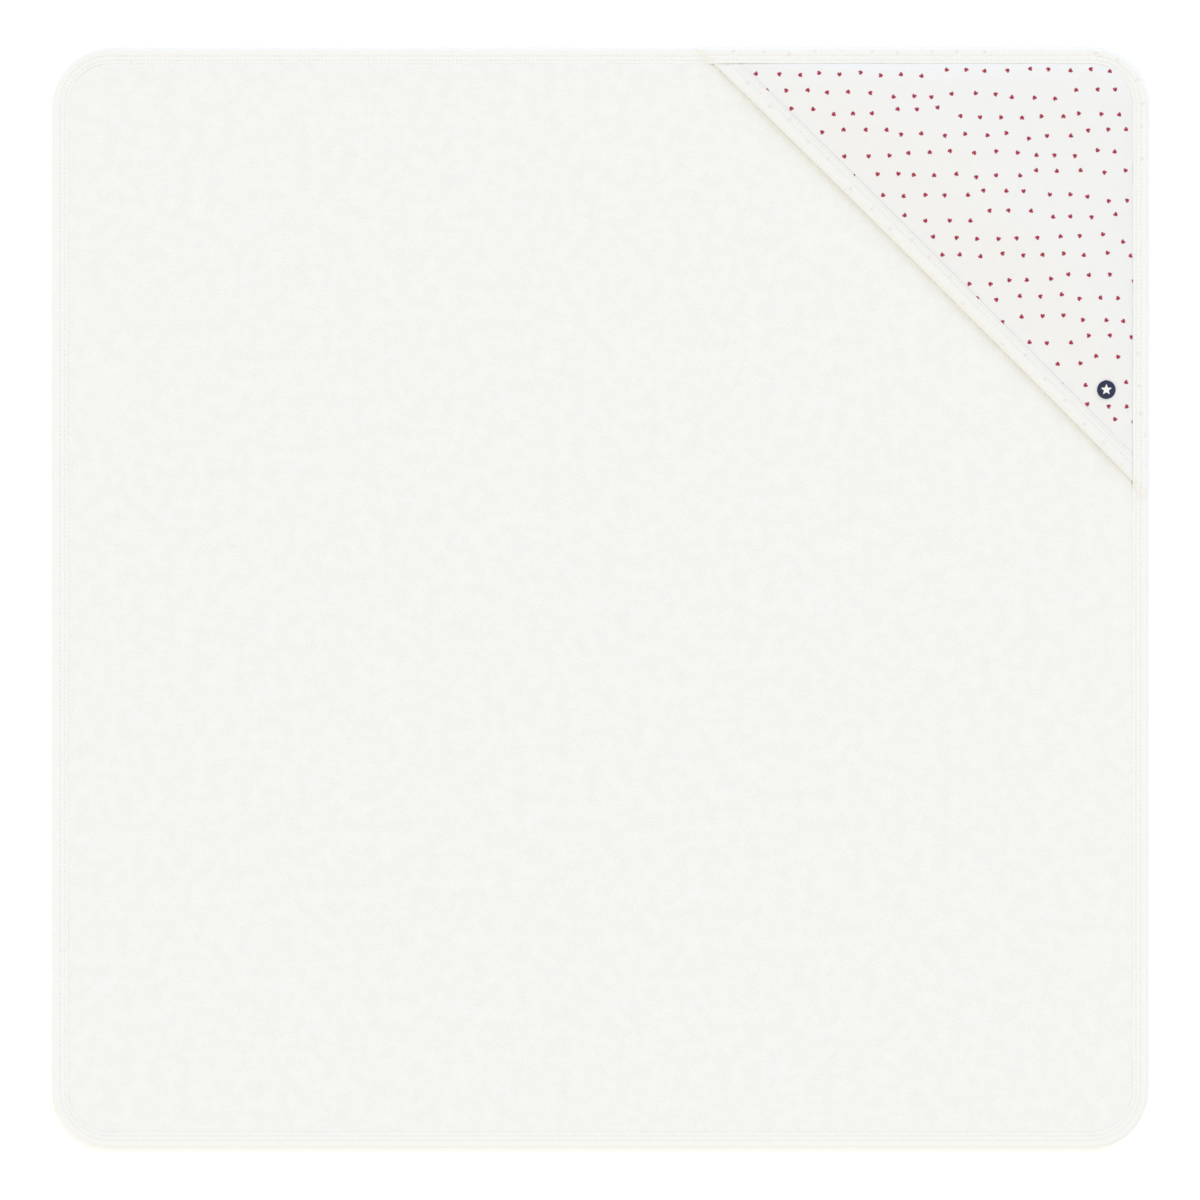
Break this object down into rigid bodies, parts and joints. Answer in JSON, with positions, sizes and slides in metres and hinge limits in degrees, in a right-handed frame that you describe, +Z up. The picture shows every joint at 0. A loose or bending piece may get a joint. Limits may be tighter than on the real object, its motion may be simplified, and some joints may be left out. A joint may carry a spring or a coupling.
{
  "type": "hooded baby towel",
  "caption": "Square terry baby towel, lying flat and open, with a bound edge and a lined printed jersey hood across one corner, which lifts to let a head in.",
  "frame": {"origin": "on the surface that the towel lies on, under the middle of the towel", "axes": "+Z up out of the terry; +X and +Y along the towel's sides, with the hood on the corner towards +X and +Y; +Y is the slightly longer side"},
  "size_m": [0.75, 0.753, 0.0164],
  "materials": {
    "terry": "looped pile, matt",
    "binding_jersey": "fine knit, matt",
    "printed_jersey": "fine knit, matt, small hearts printed in dark red",
    "thread": "spun polyester, slight sheen",
    "navy_thread": "rayon embroidery thread, satin",
    "label_satin": "satin ribbon, blank",
    "stabiliser": "non-woven, matt"
  },
  "bodies": {
    "towel": {"towel_panel": "terry", "edge_binding": "binding_jersey", "edge_stitch_outer": "thread", "edge_stitch_inner": "thread", "edge_stitch_under": "thread", "care_label": "label_satin"},
    "hood": {"hood_panel": "printed_jersey", "hood_lining": "terry", "hood_edge_binding": "binding_jersey", "hood_stitch_outer": "thread", "hood_stitch_inner": "thread", "hood_stitch_under": "thread", "badge_ground": "navy_thread", "badge_motif": "thread", "badge_backing": "stabiliser"}
  },
  "joints": [
    {"name": "hood_lift", "type": "hinge", "parent": "towel", "child": "hood", "pos_m": [0.3562, 0.3577, 0.0039], "axis": [-0.7071, 0.7071, 0], "range_deg": [0, 18]}
  ]
}
